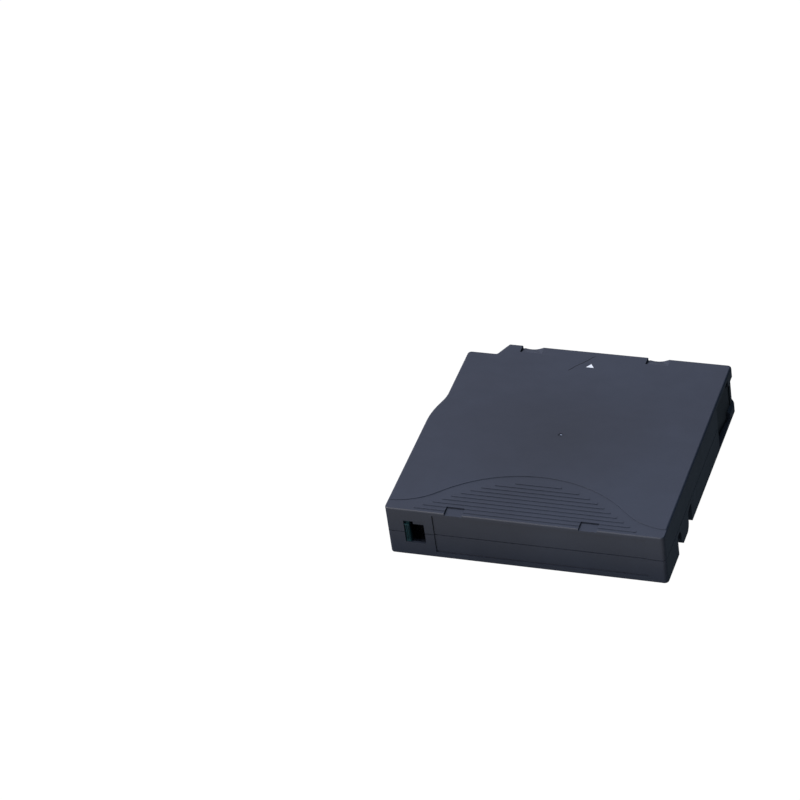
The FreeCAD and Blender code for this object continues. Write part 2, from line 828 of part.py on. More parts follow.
def coil(radius, wire_r, length, turns):
    """Spring along +Z in short straight lengths of six-sided wire, with half a turn flat at each end."""
    corner = wire_r / math.cos(math.radians(30))
    angles = [math.radians(60 * i) for i in range(7)]
    steps = coil_steps * turns
    flat = coil_steps / 2
    sections = []
    for i in range(steps + 1):
        share = min(max((i - flat) / (steps - 2 * flat), 0), 1)
        z = wire_r + (length - 2 * wire_r) * share
        points = [V(radius + corner * math.cos(a), 0, z + corner * math.sin(a)) for a in angles]
        section = Part.makePolygon(points)
        section.rotate(V(0, 0, 0), UP, i * 360.0 / coil_steps)
        sections.append(section)
    return Part.makeLoft(sections, True, True)


def brake_spring():
    length = roof_z - disc_top_z
    return coil(brake_coil_r, brake_wire_r, length, brake_coil_turns).translated(V(0, 0, disc_top_z))


def door_spring():
    spring = coil(door_coil_r, door_wire_r, door_coil_l, door_coil_turns)
    spring.rotate(V(0, 0, 0), V(1, 0, 0), -90)
    return spring.translated(V(coil_x, coil_stop_y, door_coil_z))


def door_wedge():
    """Pocket a drive's finger rides into: deepest at its steep end, it runs out along a slanted line."""
    outside = door_x1 + 1
    slope = wedge_deep / (wedge_z0 - door_z0)
    shallow = slope * (wedge_z1 - door_z0)
    low = door_z0 - 1
    ends = []
    for y, top_z, deep in ((wedge_y0, wedge_z0, wedge_deep), (wedge_y1, wedge_z1, shallow)):
        points = [
            V(door_x1, y, top_z),
            V(door_x1 - deep - slope, y, low),
            V(outside, y, low),
            V(outside, y, top_z),
        ]
        ends.append(Part.makePolygon(points + points[:1]))
    return Part.makeLoft(ends, True, True)


def access_door():
    """Door plate, its narrow neck and thick corner tab, and the block and pin for its spring."""
    tall = box(door_x0, door_x1, door_y0, door_y1, door_z0, door_z1)
    tab_x1 = half_w - door_tab_back
    tab_y1 = half_d - door_tab_back
    neck = box(door_x0, door_x1, door_y1, tab_y1 - door_tab_t, tab_z0, tab_z1)
    tab = box(tab_x1 - door_tab_w, tab_x1, tab_y1 - door_tab_t, tab_y1, tab_z0, tab_z1)
    tab = tab.makeFillet(door_tab_back, [e for e in tab.Edges if is_tab_corner(e, tab_x1, tab_y1)])
    half = coil_block_h / 2
    block_x0 = door_x1 - coil_block_w
    block = box(block_x0, door_x1, door_y0, door_y0 + coil_block_l, door_coil_z - half, door_coil_z + half)
    pin = Part.makeCylinder(coil_pin_r, coil_pin_l, V(coil_x, door_y0, door_coil_z), V(0, -1, 0))
    return tall.fuse([neck, tab, block, pin]).cut(door_wedge()).removeSplitter()


def is_tab_corner(edge, x, y):
    centre = edge.BoundBox.Center
    return abs(centre.x - x) < 0.01 and abs(centre.y - y) < 0.01


def write_protect_slider():
    """Slide plate behind the window, with a ribbed finger tab that reaches into it."""
    plate = box(slider_x0, slider_x0 + slider_w, slider_y0, slider_y1, slider_z0, slider_z1)
    tab_x1 = slider_x0 + slider_w
    tab_y0 = slider_y0 - slider_tab_out
    low_z = window_z0 + running
    high_z = window_z1 - running
    tab = box(tab_x1 - slider_tab_w, tab_x1, tab_y0, slider_y0, low_z, high_z)
    grooves = []
    pitch = slider_tab_w / slider_groove_count
    groove_w = pitch / 2
    for i in range(slider_groove_count):
        x = tab_x1 - slider_tab_w + i * pitch + groove_w / 2
        groove = box(x, x + groove_w, tab_y0, tab_y0 + groove_w, low_z + pitch, high_z - pitch)
        grooves.append(groove)
    return plate.fuse(tab).cut(grooves).removeSplitter()


def leader_pin():
    shaft = cylinder(pin_r, pin_z0, pin_z1, pin_x, pin_y)
    low_head = cylinder(pin_head_r, pin_z0, pin_z0 + pin_head_t, pin_x, pin_y)
    high_head = cylinder(pin_head_r, pin_z1 - pin_head_t, pin_z1, pin_x, pin_y)
    return shaft.fuse([low_head, high_head]).removeSplitter()


def tape_tangent():
    """Direction, in radians, of the normal to the tape where it leaves the pack for the pin."""
    pack_side = pack_r + leader_off + leader_t / 2
    pin_side = pin_r + running + leader_t / 2
    to_pin = math.atan2(pin_y, pin_x)
    return to_pin - math.acos((pack_side - pin_side) / math.hypot(pin_x, pin_y))


def leader_tape():
    """Straight stretch of tape tangent to the pack and to the pin, and its turn round the pin."""
    normal = tape_tangent()
    across = V(math.cos(normal), math.sin(normal), 0)
    along = V(-across.y, across.x, 0)
    inner = pack_r + leader_off
    pin_inner = pin_r + running
    start = across * inner
    end = V(pin_x, pin_y, 0) + across * pin_inner
    points = [start, start + across * leader_t, end + across * leader_t, end]
    flat = prism(points, V(0, 0, tape_w))
    turn = ring(pin_inner + leader_t, pin_inner, 0, tape_w)
    keep = box(-pin_head_r, 0, 0, pin_head_r, 0, tape_w).fuse(box(0, pin_head_r, 0, pin_head_r, 0, tape_w))
    turn = turn.common(keep)
    turn.rotate(V(0, 0, 0), UP, math.degrees(math.atan2(along.y, along.x)) - 90.0)
    turn.translate(V(pin_x, pin_y, 0))
    return flat.fuse(turn).removeSplitter().translated(V(0, 0, pack_z0))


def leader_clip():
    """C-shaped clip over the tape's turn; the tape enters through its gap."""
    inner = pin_r + running * 2 + leader_t
    clip = ring(inner + clip_t, inner, pack_z0, pack_z1)
    gap = Part.makeCylinder(inner + clip_t, tape_w, V(0, 0, pack_z0), UP, clip_gap_to - clip_gap_from)
    gap.rotate(V(0, 0, 0), UP, clip_gap_from)
    return clip.cut(gap).translated(V(pin_x, pin_y, 0))


def pin_spring():
    """Sheet spring: an upright strip with a curled finger behind each head of the pin."""
    z0 = pin_z0 + (pin_head_t - spring_finger_h) / 2
    z1 = pin_z1 - (pin_head_t - spring_finger_h) / 2
    inner = pin_head_r + running
    spine_x = pin_x - spring_reach
    half = spring_spine_w / 2
    strip = box(spine_x, spine_x + spring_t, pin_y - half, pin_y + half, z0, z1)
    pieces = []
    for z in (z0, z1 - spring_finger_h):
        curl = ring(inner + spring_t, inner, z, z + spring_finger_h, pin_x, pin_y)
        side = inner + spring_t
        curl = curl.cut(box(pin_x, pin_x + side, pin_y - side, pin_y + side, z, z + spring_finger_h))
        link_x1 = pin_x - inner - spring_t / 2
        link_half = spring_link_w / 2
        link = box(spine_x, link_x1, pin_y - link_half, pin_y + link_half, z, z + spring_finger_h)
        pieces += [curl, link]
    return strip.fuse(pieces).removeSplitter()


def memory_chip():
    """Square card on the slope of its ribs."""
    diagonal = math.sqrt(0.5)
    start = (chip_slope / diagonal - chip_size) / 2
    low = V(chip_x0, -in_y + chip_slope - start * diagonal, floor_t + start * diagonal)
    slope = V(0, -diagonal, diagonal) * chip_size
    normal = V(0, diagonal, diagonal) * chip_t
    points = [low, low + slope, low + slope + normal, low + normal]
    return prism(points, V(chip_size, 0, 0))


def save(name, shape):
    shape.exportStep("parts/" + name + ".step")
    print(name, len(shape.Solids), round(shape.Volume, 1), shape.isValid())


closed_case = case_block()
save("upper_shell", upper_shell(closed_case))
save("lower_shell", lower_shell(closed_case))
save("case_screws", case_screws())
save("reel_hub", reel_hub())
save("upper_flange", upper_flange())
save("hub_washer", hub_washer())
save("tape_pack", tape_pack())
save("leader_tape", leader_tape())
save("leader_pin", leader_pin())
save("leader_clip", leader_clip())
save("pin_spring", pin_spring())
save("access_door", access_door())
save("door_spring", door_spring())
save("write_protect_slider", write_protect_slider())
save("brake_button", brake_button())
save("brake_spring", brake_spring())
save("clutch_spider", clutch_spider())
save("memory_chip", memory_chip())
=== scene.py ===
import math

import bpy
from mathutils import Matrix, Vector


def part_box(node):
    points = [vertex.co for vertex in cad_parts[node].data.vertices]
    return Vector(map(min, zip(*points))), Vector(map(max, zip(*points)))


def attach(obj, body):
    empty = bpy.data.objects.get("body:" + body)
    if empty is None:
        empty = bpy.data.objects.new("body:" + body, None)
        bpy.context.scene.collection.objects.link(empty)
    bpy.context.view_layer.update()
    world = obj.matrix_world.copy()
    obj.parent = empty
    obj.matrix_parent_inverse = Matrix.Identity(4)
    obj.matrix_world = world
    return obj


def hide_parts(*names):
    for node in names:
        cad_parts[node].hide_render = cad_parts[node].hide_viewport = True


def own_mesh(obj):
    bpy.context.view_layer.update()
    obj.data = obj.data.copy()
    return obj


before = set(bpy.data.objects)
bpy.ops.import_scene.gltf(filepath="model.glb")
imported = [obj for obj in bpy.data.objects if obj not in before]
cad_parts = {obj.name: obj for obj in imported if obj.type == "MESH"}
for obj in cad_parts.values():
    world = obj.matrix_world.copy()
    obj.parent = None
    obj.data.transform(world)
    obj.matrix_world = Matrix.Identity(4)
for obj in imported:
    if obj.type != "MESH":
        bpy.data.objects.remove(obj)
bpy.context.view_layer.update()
mm = 0.001
colourMix = {"share": 0, "first": 6, "second": 7, "result": 2}  # socket numbers of a colour Mix node


def toLinear(hexColour):  # "3a3f4b" -> linear rgba
    channels = [int(hexColour[i:i + 2], 16) / 255 for i in (0, 2, 4)]
    linear = [c / 12.92 if c <= 0.04045 else ((c + 0.055) / 1.055) ** 2.4 for c in channels]
    return (*linear, 1.0)


def addNode(material, kind, settings=None, links=None):
    # sockets go by name, or by number where a node has several of one name
    node = material.node_tree.nodes.new(kind)
    for name, value in (settings or {}).items():
        if isinstance(name, int) or name in node.inputs:
            node.inputs[name].default_value = value
        else:
            setattr(node, name, value)
    for name, source in (links or {}).items():
        material.node_tree.links.new(source, node.inputs[name])
    return node


def newMaterial(name, shaderSettings):
    material = bpy.data.materials.new(name)
    material.use_nodes = True
    shader = material.node_tree.nodes["Principled BSDF"]
    for socket, value in shaderSettings.items():
        shader.inputs[socket].default_value = value
    return material, shader


def connect(material, output, socket):
    material.node_tree.links.new(output, socket)


def paintRamp(ramp, stops):
    # stops: (place from 0 to 1, linear rgba), two of them
    for element, (place, colour) in zip(ramp.color_ramp.elements, stops):
        element.position = place
        element.color = colour


# modelling helpers

copying = {"joinWithin": 0.002, "flatWithin": 0.6}  # mm, degrees
rounding = {"segments": 2, "sharperThan": 32}  # degrees
shading = {"smoothBelow": 40, "flatFaceWeight": 80}  # degrees, and how far large faces lead


def pickOnly(piece):
    bpy.ops.object.select_all(action="DESELECT")
    piece.select_set(True)
    bpy.context.view_layer.objects.active = piece


def dress(piece, material):
    piece.data.materials.clear()
    piece.data.materials.append(material)


def applyModifier(piece, kind, settings):
    pickOnly(piece)
    modifier = piece.modifiers.new(kind.title(), kind)
    for name, value in settings.items():
        setattr(modifier, name, value)
    bpy.ops.object.modifier_apply(modifier=modifier.name)


def meshCopy(nodeName, pieceName):
    # copy of a CAD node, its loose triangles joined up and flat faces made whole
    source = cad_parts[nodeName]
    piece = source.copy()
    piece.data = source.data.copy()
    piece.name = pieceName
    piece.data.name = pieceName
    for key in list(piece.keys()):
        del piece[key]
    bpy.context.scene.collection.objects.link(piece)
    piece.parent = None
    pickOnly(piece)
    bpy.ops.object.mode_set(mode="EDIT")
    bpy.ops.mesh.select_all(action="SELECT")
    bpy.ops.mesh.remove_doubles(threshold=copying["joinWithin"] * mm)
    bpy.ops.mesh.dissolve_limited(angle_limit=math.radians(copying["flatWithin"]))
    bpy.ops.object.mode_set(mode="OBJECT")
    return piece


def mouldedCopy(nodeName, pieceName, edge):
    # its sharp edges are rounded by edge mm, as they leave the mould
    piece = meshCopy(nodeName, pieceName)
    applyModifier(piece, "BEVEL", {
        "width": edge * mm, "segments": rounding["segments"], "limit_method": "ANGLE",
        "angle_limit": math.radians(rounding["sharperThan"]), "use_clamp_overlap": True,
        "harden_normals": False,
    })
    return piece


def evenNormals(piece):
    # flat faces shade flat, and only the rounded edges turn
    pickOnly(piece)
    bpy.ops.object.shade_smooth_by_angle(angle=math.radians(shading["smoothBelow"]))
    applyModifier(piece, "WEIGHTED_NORMAL", {"keep_sharp": True, "weight": shading["flatFaceWeight"]})


def objectPattern(material, cell, detail, roughness, stretch=(1, 1, 1)):
    # noise whose cells are about cell mm across, finer along an axis by its stretch
    place = addNode(material, "ShaderNodeTexCoord")
    mapping = addNode(material, "ShaderNodeMapping", {"Scale": stretch}, {"Vector": place.outputs["Object"]})
    return addNode(material, "ShaderNodeTexNoise", {"Scale": 1 / (cell * mm), "Detail": detail,
                   "Roughness": roughness}, {"Vector": mapping.outputs["Vector"]})


# case: dark blue-grey polycarbonate, injection moulded. The spark-eroded mould leaves an even satin grain,
# so its highlights are broad and soft, with faint clouds where hands have polished it. Lengths are in mm;
# the real grain is about 0.05 mm and is drawn coarser, and the scratch wider, so that they show.
casePlastic = {
    "ior": 1.585, "specular": 0.5,
    "colour": "21252f", "colourLight": "262b36", "toneStops": (0.36, 0.66),
    "cloud": {"cell": 38.0, "detail": 4.0, "roughness": 0.55},
    "grain": {"cell": 0.34, "detail": 2.0, "roughness": 0.6},
    "grainFrom": (0.3, 0.7), "grainTone": (0.94, 1.06), "grainDepth": 0.016, "grainStrength": 0.55,
    "smudge": {"cell": 9.0, "detail": 5.0, "roughness": 0.6, "stretch": (1, 1.6, 1)},
    "smudgeFrom": (0.35, 0.68), "roughness": (0.43, 0.48),
    "topLevel": 20.0, "topFade": 0.5,  # the scratch, the painted shade and the painted highlight stay above this level
}
paintedShadeMiddle = {"at": (0, 0), "radius": 42.0, "soft": 1.0, "colour": "171a21", "share": 0.85}  # painted shade: the middle of the top a little darker
gateHighlight = {"at": (0.15, 0.25), "radius": 0.42, "soft": 0.3, "colour": "9fa5b4", "share": 1.0}  # painted highlight: the light dot where the mould gate's nub catches the light
hairScratch = {
    "start": (-7.9, 38.1), "end": (0.4, 48.5), "width": 0.4, "core": 0.3, "depth": 0.12,
    "wander": {"cell": 4.0, "detail": 1.0, "roughness": 0.5}, "wanderBy": 0.5,
    "startFade": 0.5, "endFade": 2.0, "colour": "04060a", "share": 0.9,
}
aboveTop = {"From Min": casePlastic["topLevel"] * mm,
            "From Max": (casePlastic["topLevel"] + casePlastic["topFade"]) * mm}


def scratchMask(material, scratch):
    # one on a thin line across the top near the leading edge, nought elsewhere
    x0, y0 = (value * mm for value in scratch["start"])
    x1, y1 = (value * mm for value in scratch["end"])
    half = scratch["width"] * mm / 2
    length = math.hypot(x1 - x0, y1 - y0)
    place = addNode(material, "ShaderNodeTexCoord")
    along = addNode(material, "ShaderNodeMapping", {"vector_type": "TEXTURE", "Location": (x0, y0, 0),
                    "Rotation": (0, 0, math.atan2(y1 - y0, x1 - x0))}, {"Vector": place.outputs["Object"]})
    parts = addNode(material, "ShaderNodeSeparateXYZ", None, {"Vector": along.outputs["Vector"]})
    wander = objectPattern(material, **scratch["wander"])
    drift = addNode(material, "ShaderNodeMapRange", {"To Min": -scratch["wanderBy"] * mm,
                    "To Max": scratch["wanderBy"] * mm}, {"Value": wander.outputs["Fac"]})
    side = addNode(material, "ShaderNodeMath", {"operation": "SUBTRACT"},
                   {0: parts.outputs["Y"], 1: drift.outputs["Result"]})
    away = addNode(material, "ShaderNodeMath", {"operation": "ABSOLUTE"}, {0: side.outputs["Value"]})
    near = addNode(material, "ShaderNodeMapRange", {"From Min": half, "From Max": half * scratch["core"]},
                   {"Value": away.outputs["Value"]})
    begins = addNode(material, "ShaderNodeMapRange", {"From Min": 0.0, "From Max": scratch["startFade"] * mm},
                     {"Value": parts.outputs["X"]})
    ends = addNode(material, "ShaderNodeMapRange", {"From Min": length,
                   "From Max": length - scratch["endFade"] * mm}, {"Value": parts.outputs["X"]})
    upper = addNode(material, "ShaderNodeMapRange", aboveTop, {"Value": parts.outputs["Z"]})
    mask = near.outputs["Result"]
    for other in (begins, ends, upper):
        both = addNode(material, "ShaderNodeMath", {"operation": "MULTIPLY"},
                       {0: mask, 1: other.outputs["Result"]})
        mask = both.outputs["Value"]
    return mask


def discMask(material, disc):
    # one inside an upright column through the top, falling to nought over its soft rim
    upright = 1e4  # so tall that height doesn't count as distance
    radius = disc["radius"] * mm
    place = addNode(material, "ShaderNodeTexCoord")
    shift = addNode(material, "ShaderNodeMapping", {"vector_type": "TEXTURE",
                    "Location": (disc["at"][0] * mm, disc["at"][1] * mm, 0), "Scale": (1, 1, upright)},
                    {"Vector": place.outputs["Object"]})
    away = addNode(material, "ShaderNodeVectorMath", {"operation": "LENGTH"},
                   {"Vector": shift.outputs["Vector"]})
    inside = addNode(material, "ShaderNodeMapRange", {"From Min": radius,
                     "From Max": radius * (1 - disc["soft"])}, {"Value": away.outputs["Value"]})
    parts = addNode(material, "ShaderNodeSeparateXYZ", None, {"Vector": place.outputs["Object"]})
    upper = addNode(material, "ShaderNodeMapRange", aboveTop, {"Value": parts.outputs["Z"]})
    both = addNode(material, "ShaderNodeMath", {"operation": "MULTIPLY"},
                   {0: inside.outputs["Result"], 1: upper.outputs["Result"]})
    return both.outputs["Value"]


def mouldedPolycarbonate(plastic):
    material, shader = newMaterial("mouldedPolycarbonate", {
        "IOR": plastic["ior"], "Specular IOR Level": plastic["specular"]})
    cloud = objectPattern(material, **plastic["cloud"])
    smudge = objectPattern(material, **plastic["smudge"])
    grain = objectPattern(material, **plastic["grain"])
    tone = addNode(material, "ShaderNodeValToRGB", None, {"Fac": cloud.outputs["Fac"]})
    shades = (toLinear(plastic["colour"]), toLinear(plastic["colourLight"]))
    paintRamp(tone, zip(plastic["toneStops"], shades))
    speckle = addNode(material, "ShaderNodeMapRange", {
        "From Min": plastic["grainFrom"][0], "From Max": plastic["grainFrom"][1],
        "To Min": plastic["grainTone"][0], "To Max": plastic["grainTone"][1]},
        {"Value": grain.outputs["Fac"]})
    grey = addNode(material, "ShaderNodeVectorMath", {"operation": "SCALE"},
                   {"Vector": tone.outputs["Color"], "Scale": speckle.outputs["Result"]})
    colour = grey.outputs["Vector"]
    scratch = scratchMask(material, hairScratch)
    # painted light among the marks: the darker middle of the top is painted shade, and the gate's light dot is
    # a painted highlight; the scratch is a real mark
    marksAndPaintedLight = ((discMask(material, paintedShadeMiddle), paintedShadeMiddle), (scratch, hairScratch),
             (discMask(material, gateHighlight), gateHighlight))
    for mask, mark in marksAndPaintedLight:
        share = addNode(material, "ShaderNodeMath", {"operation": "MULTIPLY", 1: mark["share"]}, {0: mask})
        blend = addNode(material, "ShaderNodeMix",
                        {"data_type": "RGBA", colourMix["second"]: toLinear(mark["colour"])},
                        {colourMix["share"]: share.outputs["Value"], colourMix["first"]: colour})
        colour = blend.outputs[colourMix["result"]]
    connect(material, colour, shader.inputs["Base Color"])
    polish = addNode(material, "ShaderNodeMapRange", {
        "From Min": plastic["smudgeFrom"][0], "From Max": plastic["smudgeFrom"][1],
        "To Min": plastic["roughness"][0], "To Max": plastic["roughness"][1]},
        {"Value": smudge.outputs["Fac"]})
    torn = addNode(material, "ShaderNodeMath", {"operation": "ADD"}, {0: polish.outputs["Result"], 1: scratch})
    connect(material, torn.outputs["Value"], shader.inputs["Roughness"])
    groove = addNode(material, "ShaderNodeBump", {"Strength": 1.0, "Distance": hairScratch["depth"] * mm,
                     "invert": True}, {"Height": scratch})
    bump = addNode(material, "ShaderNodeBump", {"Strength": plastic["grainStrength"],
                   "Distance": plastic["grainDepth"] * mm},
                   {"Height": grain.outputs["Fac"], "Normal": groove.outputs["Normal"]})
    connect(material, bump.outputs["Normal"], shader.inputs["Normal"])
    return material


plasticSurface = {
    "cloud": {"cell": 14.0, "detail": 4.0, "roughness": 0.55}, "toneStops": (0.35, 0.68),
    "fineDetail": {"detail": 3.0, "roughness": 0.6}, "fineFrom": (0.3, 0.7),
    "glossSpread": (-0.06, 0.08), "bumpStrength": 0.5,
}


def smoothPlastic(name, plastic):
    # plastic or paint with a fine surface, a little uneven in tone and gloss
    surface = plasticSurface
    material, shader = newMaterial(name, {"IOR": plastic["ior"], "Specular IOR Level": plastic["specular"]})
    cloud = objectPattern(material, **surface["cloud"])
    fine = objectPattern(material, plastic["grain"], **surface["fineDetail"])
    tone = addNode(material, "ShaderNodeValToRGB", None, {"Fac": cloud.outputs["Fac"]})
    shades = (toLinear(plastic["colour"]), toLinear(plastic["colourLight"]))
    paintRamp(tone, zip(surface["toneStops"], shades))
    connect(material, tone.outputs["Color"], shader.inputs["Base Color"])
    polish = addNode(material, "ShaderNodeMapRange", {
        "From Min": surface["fineFrom"][0], "From Max": surface["fineFrom"][1],
        "To Min": plastic["roughness"] + surface["glossSpread"][0],
        "To Max": plastic["roughness"] + surface["glossSpread"][1]}, {"Value": fine.outputs["Fac"]})
    connect(material, polish.outputs["Result"], shader.inputs["Roughness"])
    bump = addNode(material, "ShaderNodeBump", {"Strength": surface["bumpStrength"],
                   "Distance": plastic["depth"] * mm}, {"Height": fine.outputs["Fac"]})
    connect(material, bump.outputs["Normal"], shader.inputs["Normal"])
    return material


metalSurface = {"detail": 3.0, "roughness": 0.6, "linesFrom": (0.3, 0.7), "glossSpread": (-0.07, 0.1),
                "bumpStrength": 0.4}


def workedSteel(name, steel):
    # drawn, stamped or plated steel: fine lines one way, from stretched noise
    surface = metalSurface
    material, shader = newMaterial(name, {"Metallic": 1.0, "Base Color": toLinear(steel["colour"])})
    lines = objectPattern(material, steel["grain"], surface["detail"], surface["roughness"], steel["stretch"])
    polish = addNode(material, "ShaderNodeMapRange", {
        "From Min": surface["linesFrom"][0], "From Max": surface["linesFrom"][1],
        "To Min": steel["roughness"] + surface["glossSpread"][0],
        "To Max": steel["roughness"] + surface["glossSpread"][1]}, {"Value": lines.outputs["Fac"]})
    connect(material, polish.outputs["Result"], shader.inputs["Roughness"])
    bump = addNode(material, "ShaderNodeBump", {"Strength": surface["bumpStrength"],
                   "Distance": steel["depth"] * mm}, {"Height": lines.outputs["Fac"]})
    connect(material, bump.outputs["Normal"], shader.inputs["Normal"])
    return material


# tape: polyester film, coated and wound. Its turns are far finer than a render shows, so the rings on the
# pack's flat sides are drawn 1.1 mm apart: a dark brown with a soft silky shine.
woundFilm = {"ior": 1.6, "colour": "2b2523", "ringSpacing": 1.1, "distortion": 0.4, "detail": 3.0,
             "roughness": (0.22, 0.4), "depth": 0.02, "bumpStrength": 0.3}


def coatedPolyesterFilm(film):
    unitRing = math.tau / 20  # spacing of a wave texture's rings at a scale of one
    material, shader = newMaterial("coatedPolyesterFilm", {
        "IOR": film["ior"], "Base Color": toLinear(film["colour"])})
    place = addNode(material, "ShaderNodeTexCoord")
    rings = addNode(material, "ShaderNodeTexWave", {"wave_type": "RINGS", "rings_direction": "Z",
                    "Scale": unitRing / (film["ringSpacing"] * mm), "Distortion": film["distortion"],
                    "Detail": film["detail"]}, {"Vector": place.outputs["Object"]})
    polish = addNode(material, "ShaderNodeMapRange", {"To Min": film["roughness"][0],
                     "To Max": film["roughness"][1]}, {"Value": rings.outputs["Fac"]})
    connect(material, polish.outputs["Result"], shader.inputs["Roughness"])
    bump = addNode(material, "ShaderNodeBump", {"Strength": film["bumpStrength"],
                   "Distance": film["depth"] * mm}, {"Height": rings.outputs["Fac"]})
    connect(material, bump.outputs["Normal"], shader.inputs["Normal"])
    return material


# grain and depth in mm; the real grain is finer and is drawn coarse enough to show
doorAcetal = {"colour": "0d1218", "colourLight": "10161c", "roughness": 0.42, "grain": 0.5,
              "depth": 0.006, "ior": 1.48, "specular": 0.3}  # moulded: near black, waxy, little shine
sliderAcetal = {"colour": "08262a", "colourLight": "0a2c30", "roughness": 0.4, "grain": 0.5,
                "depth": 0.006, "ior": 1.48, "specular": 0.35}  # moulded: deep teal, waxy
reelPolycarbonate = {"colour": "c3c8c8", "colourLight": "d2d6d5", "roughness": 0.3, "grain": 0.6,
                     "depth": 0.005, "ior": 1.585, "specular": 0.5}  # moulded: pale grey, clean shine
brakeAcetal = {"colour": "dcdcd6", "colourLight": "e6e5df", "roughness": 0.4, "grain": 0.5,
               "depth": 0.005, "ior": 1.48, "specular": 0.5}  # moulded, no pigment: milky off-white
arrowInk = {"colour": "eceeee", "colourLight": "f6f6f5", "roughness": 0.5, "grain": 0.2,
            "depth": 0.004, "ior": 1.5, "specular": 0.5}  # pad printed: flat, dense white
boardMask = {"colour": "12482a", "colourLight": "175534", "roughness": 0.3, "grain": 0.6,
             "depth": 0.01, "ior": 1.5, "specular": 0.5}  # lacquered glass epoxy: glossy dark green
washerSteel = {"colour": "b8b9ba", "roughness": 0.3, "grain": 0.25, "stretch": (1, 9, 1),
               "depth": 0.004}  # stamped from rolled sheet: fine lines along x
screwSteel = {"colour": "a9adb2", "roughness": 0.28, "grain": 0.3, "stretch": (1, 1, 1),
              "depth": 0.004}  # zinc plated: bluish, even
springSteel = {"colour": "9a9a9c", "roughness": 0.3, "grain": 0.2, "stretch": (1, 1, 5),
               "depth": 0.003}  # drawn: darker grey, faint die lines

shellFinish = mouldedPolycarbonate(casePlastic)
doorFinish = smoothPlastic("mouldedAcetalBlack", doorAcetal)
sliderFinish = smoothPlastic("mouldedAcetalTeal", sliderAcetal)
reelFinish = smoothPlastic("mouldedPolycarbonateGrey", reelPolycarbonate)
brakeFinish = smoothPlastic("mouldedAcetalNatural", brakeAcetal)
printInk = smoothPlastic("padPrintedInk", arrowInk)
steelFinish = workedSteel("stampedStainlessSteel", washerSteel)
screwFinish = workedSteel("zincPlatedSteel", screwSteel)
springFinish = workedSteel("drawnSpringSteel", springSteel)
tapeFinish = coatedPolyesterFilm(woundFilm)
boardFinish = smoothPlastic("solderMaskedEpoxyGlass", boardMask)
print("materials made")


# case and what shows outside, lengths in mm

upperCaseShape = {"edge": 0.09, "flatAbove": 0.999, "levelWithin": 0.001}
insertionArrow = {"middleX": -0.14, "apexY": 43.35, "baseY": 41.2, "halfWidth": 1.52, "inkDepth": 0.02,
                  "centreWithin": 0.1}


def pickArrowFace(case, centre, settings):
    for face in case.data.polygons:
        near = (face.center - centre).length < settings["centreWithin"] * mm
        face.select = near and face.normal.z > upperCaseShape["flatAbove"]


def cutArrow(case, settings):
    # small white triangle that points the way the cartridge goes in: ink set flush into the top face
    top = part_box("upper_shell")[1].z
    middle, half = settings["middleX"], settings["halfWidth"]
    corners = [Vector((x * mm, y * mm, top)) for x, y in (
        (middle, settings["apexY"]), (middle - half, settings["baseY"]), (middle + half, settings["baseY"]))]
    centre = sum(corners, Vector()) / len(corners)
    pickOnly(case)
    bpy.ops.object.mode_set(mode="EDIT")
    bpy.ops.mesh.select_mode(type="FACE")
    for start, end in zip(corners, corners[1:] + corners[:1]):
        across = (end - start).cross(Vector((0, 0, 1))).normalized()
        bpy.ops.mesh.select_all(action="DESELECT")
        bpy.ops.object.mode_set(mode="OBJECT")
        for face in case.data.polygons:
            level = abs(face.center.z - top) < upperCaseShape["levelWithin"] * mm
            face.select = level and face.normal.z > upperCaseShape["flatAbove"]
        bpy.ops.object.mode_set(mode="EDIT")
        bpy.ops.mesh.bisect(plane_co=start, plane_no=across)
    bpy.ops.mesh.select_all(action="DESELECT")
    bpy.ops.object.mode_set(mode="OBJECT")
    pickArrowFace(case, centre, settings)
    bpy.ops.object.mode_set(mode="EDIT")
    bpy.ops.mesh.duplicate()
    bpy.ops.mesh.separate(type="SELECTED")
    bpy.ops.mesh.select_all(action="DESELECT")
    bpy.ops.object.mode_set(mode="OBJECT")
    pickArrowFace(case, centre, settings)
    bpy.ops.object.mode_set(mode="EDIT")
    bpy.ops.mesh.extrude_region_move(TRANSFORM_OT_translate={"value": (0, 0, -settings["inkDepth"] * mm)})
    bpy.ops.object.mode_set(mode="OBJECT")
    ink = [piece for piece in bpy.context.selected_objects if piece is not case][0]
    ink.name = "insertionArrow"
    ink.data.name = "insertionArrow"
    applyModifier(ink, "SOLIDIFY", {"thickness": settings["inkDepth"] * mm, "offset": -1})
    return ink


upperCase = mouldedCopy("upper_shell", "upperCase", upperCaseShape["edge"])
arrow = cutArrow(upperCase, insertionArrow)
evenNormals(upperCase)
dress(upperCase, shellFinish)
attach(upperCase, "case")
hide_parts("upper_shell")
dress(arrow, printInk)
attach(arrow, "case")
print("upper case", len(upperCase.data.polygons), "faces, arrow", len(arrow.data.polygons))

lowerCaseShape = {"edge": 0.09}
lowerCase = mouldedCopy("lower_shell", "lowerCase", lowerCaseShape["edge"])
evenNormals(lowerCase)
dress(lowerCase, shellFinish)
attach(lowerCase, "case")
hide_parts("lower_shell")
print("lower case", len(lowerCase.data.polygons), "faces")

doorPlateShape = {"edge": 0.14}
doorPlate = mouldedCopy("access_door", "doorPlate", doorPlateShape["edge"])
evenNormals(doorPlate)
dress(doorPlate, doorFinish)
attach(doorPlate, "door")
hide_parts("access_door")

lockSliderShape = {"edge": 0.08}
lockSlider = mouldedCopy("write_protect_slider", "lockSlider", lockSliderShape["edge"])
evenNormals(lockSlider)
dress(lockSlider, sliderFinish)
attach(lockSlider, "slider")
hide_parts("write_protect_slider")
print("door and slider made")


# springs and inner pieces; along is 0, 1 or 2 for x, y or z, and heldEnd is 0 for the low end or 1 for the high

